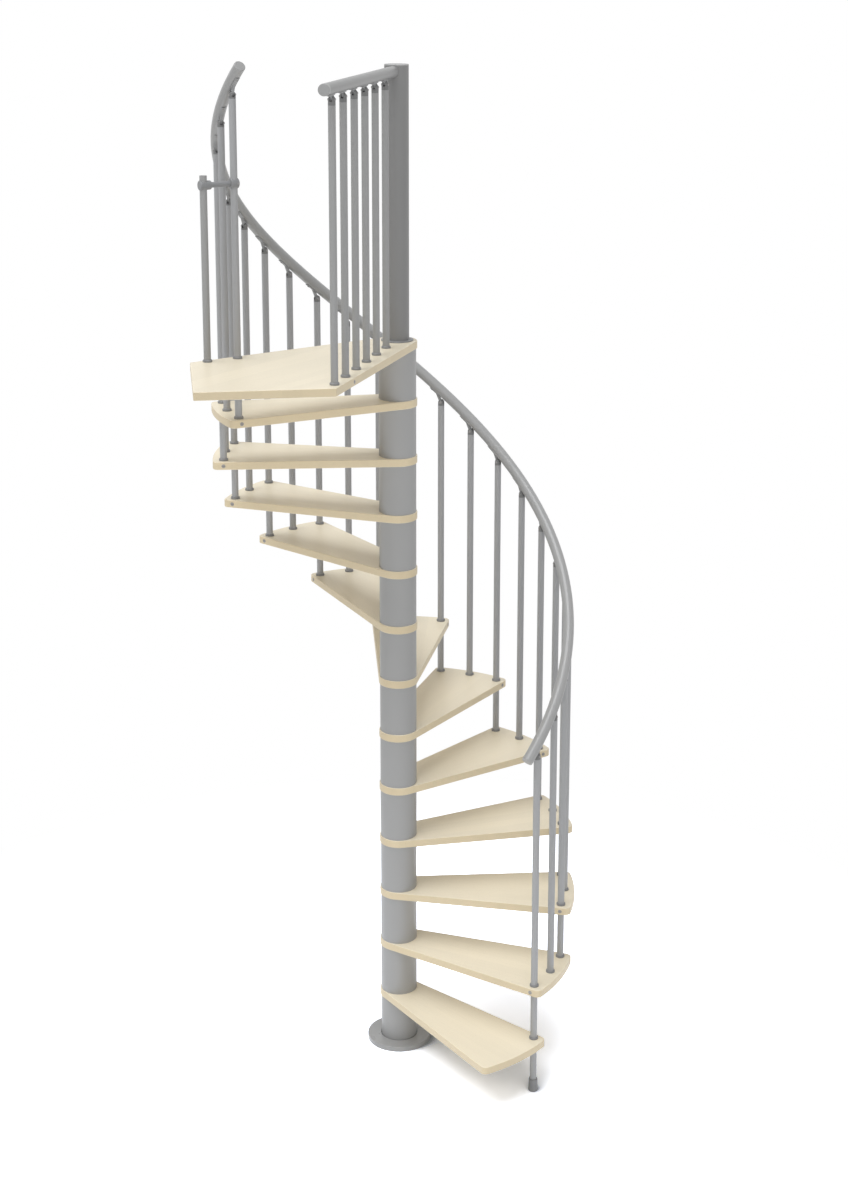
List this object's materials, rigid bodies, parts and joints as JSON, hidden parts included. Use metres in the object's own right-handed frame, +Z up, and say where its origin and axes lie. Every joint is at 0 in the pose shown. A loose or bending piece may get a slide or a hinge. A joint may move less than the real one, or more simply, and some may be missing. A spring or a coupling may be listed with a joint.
{
  "type": "spiral staircase",
  "caption": "Spiral staircase: wedge wood treads on a round column, tube balusters, a helical handrail and a square-cornered landing with its own rail.",
  "frame": {"origin": "centre of the floor flange's underside, on the column's axis", "axes": "+Z up along the column; the landing's two outer edges face -X and -Y; the flight climbs anticlockwise seen from above"},
  "size_m": [1.48, 1.5125, 3.9473],
  "materials": {
    "grey_metal": "satin grey powder coat",
    "beech": "pale clear-lacquered beech",
    "grey_rail": "satin grey handrail",
    "dark_plastic": "satin dark grey moulding"
  },
  "bodies": {
    "root": {"central_pole": "grey_metal", "pole_cap": "grey_metal", "base_flange": "grey_metal", "pole_collar": "grey_metal", "linking_balusters": "grey_metal", "middle_balusters": "grey_metal", "landing_balusters": "grey_metal", "end_baluster": "grey_metal", "end_baluster_cap": "grey_metal", "link_bar": "grey_metal", "link_clamps": "grey_metal", "column_sleeve_01": "grey_metal", "column_sleeve_02": "grey_metal", "column_sleeve_03": "grey_metal", "column_sleeve_04": "grey_metal", "column_sleeve_05": "grey_metal", "column_sleeve_06": "grey_metal", "column_sleeve_07": "grey_metal", "column_sleeve_08": "grey_metal", "column_sleeve_09": "grey_metal", "column_sleeve_10": "grey_metal", "column_sleeve_11": "grey_metal", "column_sleeve_12": "grey_metal", "column_sleeve_13": "grey_metal", "tread_01": "beech", "tread_02": "beech", "tread_03": "beech", "tread_04": "beech", "tread_05": "beech", "tread_06": "beech", "tread_07": "beech", "tread_08": "beech", "tread_09": "beech", "tread_10": "beech", "tread_11": "beech", "tread_12": "beech", "landing": "beech", "handrail": "grey_rail", "landing_handrail": "grey_rail", "rail_end_caps": "grey_rail", "bracket_forks": "dark_plastic", "bracket_saddles": "dark_plastic", "tread_collars": "dark_plastic", "landing_collars": "dark_plastic", "foot_cap": "dark_plastic"}
  },
  "joints": []
}
